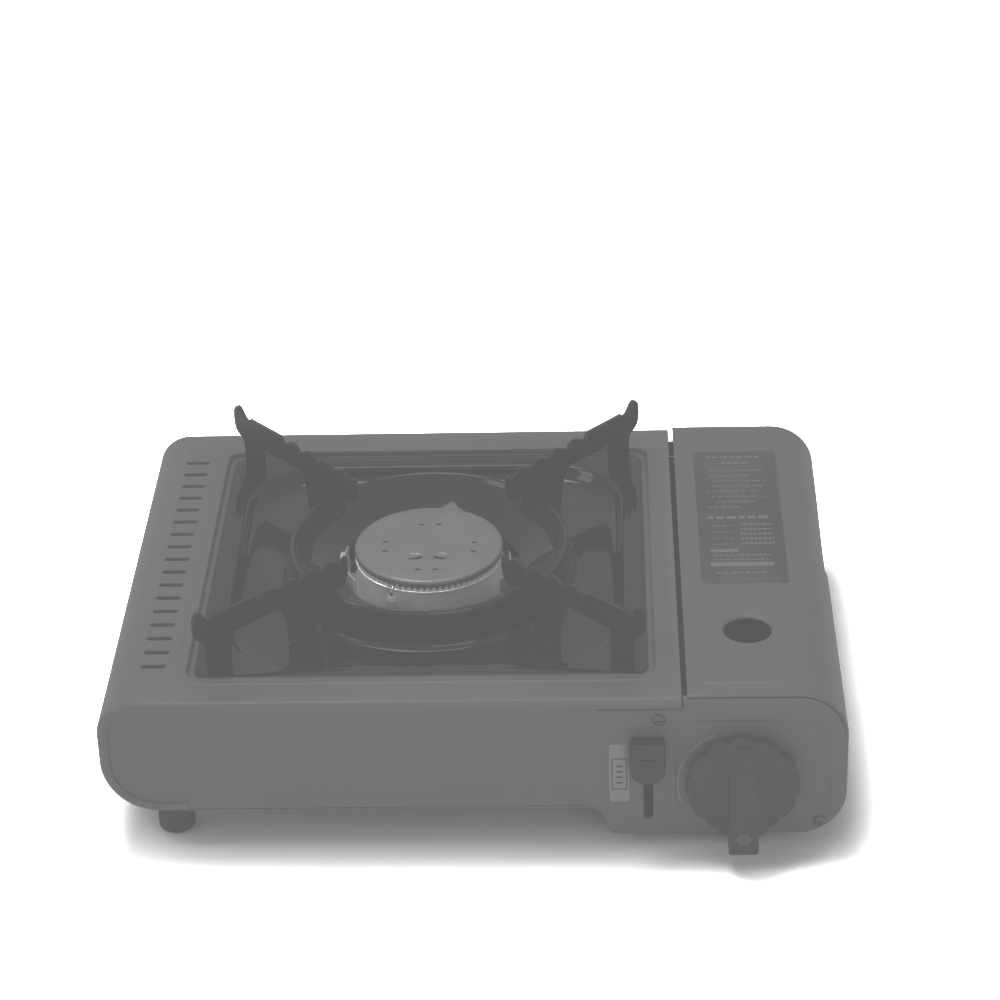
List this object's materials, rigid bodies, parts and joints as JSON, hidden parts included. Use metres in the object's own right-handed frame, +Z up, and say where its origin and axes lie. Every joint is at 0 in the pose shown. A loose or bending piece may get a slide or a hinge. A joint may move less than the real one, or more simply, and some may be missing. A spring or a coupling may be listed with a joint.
{
  "type": "portable gas stove",
  "caption": "Flat portable gas stove with one round burner, horned pot arms on a square drip pan, a hinged canister bay lid, a turning gas knob and a lock lever.",
  "frame": {"origin": "on the table, under the middle of the object's box", "axes": "+X to the right of someone facing the controls, +Y to the back, +Z up"},
  "size_m": [0.3408, 0.278, 0.1105],
  "materials": {
    "case_paint": "satin powder coat",
    "enamel": "glossy vitreous enamel",
    "burner_alloy": "satin cast and turned",
    "plated_steel": "zinc plated sheet",
    "bright_steel": "bright plated",
    "die_cast": "matte die cast",
    "brass": "turned",
    "knob_plastic": "moulded, fine texture",
    "lever_plastic": "moulded",
    "igniter_plastic": "moulded",
    "lead_sleeve": "silicone sleeve",
    "ceramic": "glazed ceramic",
    "rubber": "moulded rubber",
    "label_dark": "printed film",
    "label_light": "printed film",
    "dial_print": "printed arc"
  },
  "bodies": {
    "case": {"case_shell": "case_paint", "front_panel": "case_paint", "rear_panel": "case_paint", "base_tray": "case_paint", "bay_wall": "plated_steel", "heat_plate": "plated_steel", "burner_bracket": "plated_steel", "burner_bowl": "burner_alloy", "port_ring": "burner_alloy", "burner_cap": "burner_alloy", "mixing_tube": "plated_steel", "gas_jet": "brass", "supply_pipe": "brass", "regulator_bracket": "plated_steel", "regulator_body": "die_cast", "regulator_cover": "plated_steel", "regulator_screws": "bright_steel", "inlet_nozzle": "brass", "inlet_seal": "rubber", "canister_guide": "plated_steel", "igniter_body": "igniter_plastic", "ignition_lead": "lead_sleeve", "electrode_insulator": "ceramic", "electrode_pin": "bright_steel", "electrode_bracket": "bright_steel", "foot_front_left": "rubber", "foot_front_right": "rubber", "foot_back_left": "rubber", "foot_back_right": "rubber", "case_screws": "bright_steel", "lock_label": "label_light", "dial_marks": "dial_print", "hinge_brackets": "plated_steel", "hinge_pins": "bright_steel"},
    "lid": {"lid_shell": "case_paint", "lid_clip": "plated_steel", "lid_label": "label_dark"},
    "knob": {"control_knob": "knob_plastic", "valve_spindle": "bright_steel", "igniter_cam": "igniter_plastic"},
    "plunger": {"igniter_plunger": "igniter_plastic"},
    "lever": {"lock_lever": "lever_plastic", "lever_slide": "plated_steel"},
    "crank": {"crank_arm": "plated_steel"},
    "carriage": {"canister_carriage": "plated_steel", "carriage_spring": "bright_steel"},
    "pan": {"drip_pan": "enamel", "burner_collar": "enamel", "arm_front_left": "enamel", "arm_front_right": "enamel", "arm_back_right": "enamel", "arm_back_left": "enamel", "arm_rivets": "enamel"}
  },
  "joints": [
    {"name": "lid_hinge", "type": "hinge", "parent": "case", "child": "lid", "pos_m": [0.101, 0, 0.0769], "axis": [0, -1, 0], "range_deg": [0, 100]},
    {"name": "knob_turn", "type": "hinge", "parent": "case", "child": "knob", "pos_m": [0.123, 0, 0.037], "axis": [0, -1, 0], "range_deg": [0, 120]},
    {"name": "igniter_press", "type": "slide", "parent": "case", "child": "plunger", "axis": [0, 0, 1], "range_m": [0, 0.004]},
    {"name": "lever_down", "type": "slide", "parent": "case", "child": "lever", "axis": [0, 0, -1], "range_m": [0, 0.02]},
    {"name": "crank_turn", "type": "hinge", "parent": "case", "child": "crank", "pos_m": [0.09, -0.092, 0.029], "axis": [1, 0, 0], "range_deg": [0, 64.1]},
    {"name": "carriage_pull", "type": "slide", "parent": "case", "child": "carriage", "axis": [0, -1, 0], "range_m": [0, 0.0085], "deforming": ["carriage_spring"]},
    {"name": "pan_lift", "type": "slide", "parent": "case", "child": "pan", "axis": [0, 0, 1], "range_m": [0, 0.06]}
  ],
  "couplings": [
    {"joint": "igniter_press", "follows": "knob_turn", "m_per_rad": 0.0019099},
    {"joint": "crank_turn", "follows": "lever_down", "rad_per_m": 55.859},
    {"joint": "carriage_pull", "follows": "lever_down", "ratio": 0.424}
  ]
}
